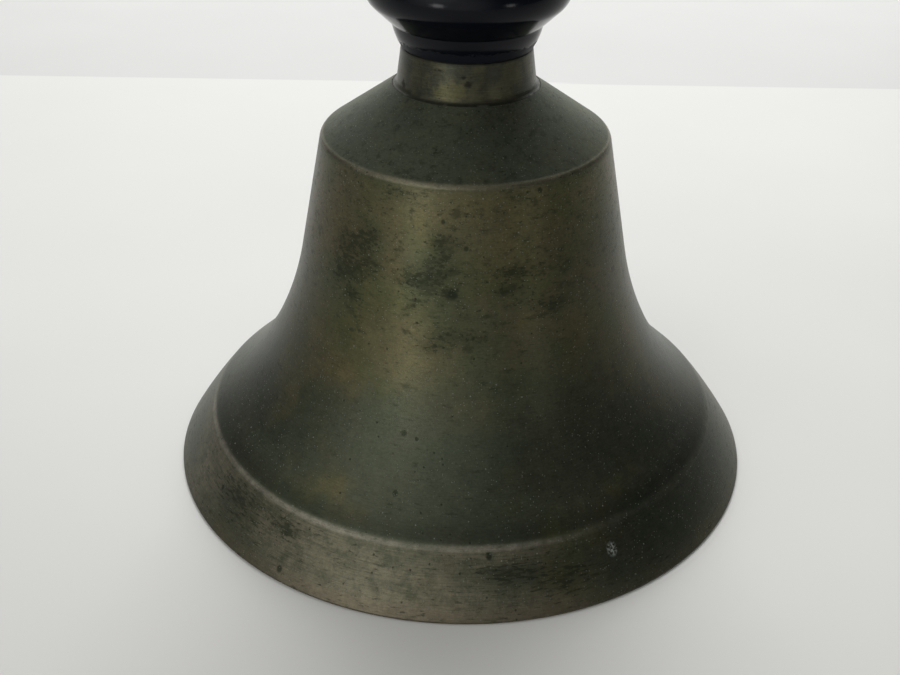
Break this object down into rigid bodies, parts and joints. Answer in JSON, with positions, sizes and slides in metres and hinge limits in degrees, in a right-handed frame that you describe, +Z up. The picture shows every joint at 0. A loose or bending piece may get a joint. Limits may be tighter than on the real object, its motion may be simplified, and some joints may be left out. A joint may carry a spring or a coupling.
{
  "type": "handbell",
  "caption": "Hand-held bell: flared bronze body, brass collar, turned black wooden handle on a through rod, and a clapper that swings on a pin below a turning stirrup.",
  "frame": {"origin": "on the bell's axis in the plane of its rim, which is the face that it stands on", "axes": "+Z up the handle, along the bell's axis; the clapper's pin lies along Y at rest, so the clapper swings along X"},
  "size_m": [0.14, 0.14, 0.2544],
  "materials": {
    "bell_bronze": "turned bell bronze under a dark olive-brown patina",
    "collar_brass": "turned brass, tarnished",
    "ebonised_wood": "turned hardwood, stained black and lacquered",
    "fitting_steel": "dull zinc-plated steel",
    "fitting_brass": "turned brass, handled",
    "hanger_steel": "blackened steel strap and forged shank",
    "clapper_iron": "turned iron, worn bright where it strikes",
    "leather": "thick oiled leather"
  },
  "bodies": {
    "bell": {"bell_body": "bell_bronze", "collar": "collar_brass", "leather_washer": "leather", "handle": "ebonised_wood", "tie_rod": "fitting_steel", "crown_washer": "fitting_steel", "spring_washer": "fitting_steel", "crown_nut": "fitting_steel", "top_washer": "fitting_brass", "cap_nut": "fitting_brass"},
    "hanger": {"clapper_stirrup": "hanger_steel", "hanger_pin": "hanger_steel"},
    "clapper": {"clapper_shank": "hanger_steel", "clapper_ball": "clapper_iron", "pin_washers": "leather"}
  },
  "joints": [
    {"name": "hanger_turn", "type": "hinge", "parent": "bell", "child": "hanger", "pos_m": [0, 0, 0.0781], "axis": [0, 0, 1], "continuous": true},
    {"name": "clapper_swing", "type": "hinge", "parent": "hanger", "child": "clapper", "pos_m": [0, 0, 0.068], "axis": [0, 1, 0], "range_deg": [-35.9, 35.9]}
  ]
}
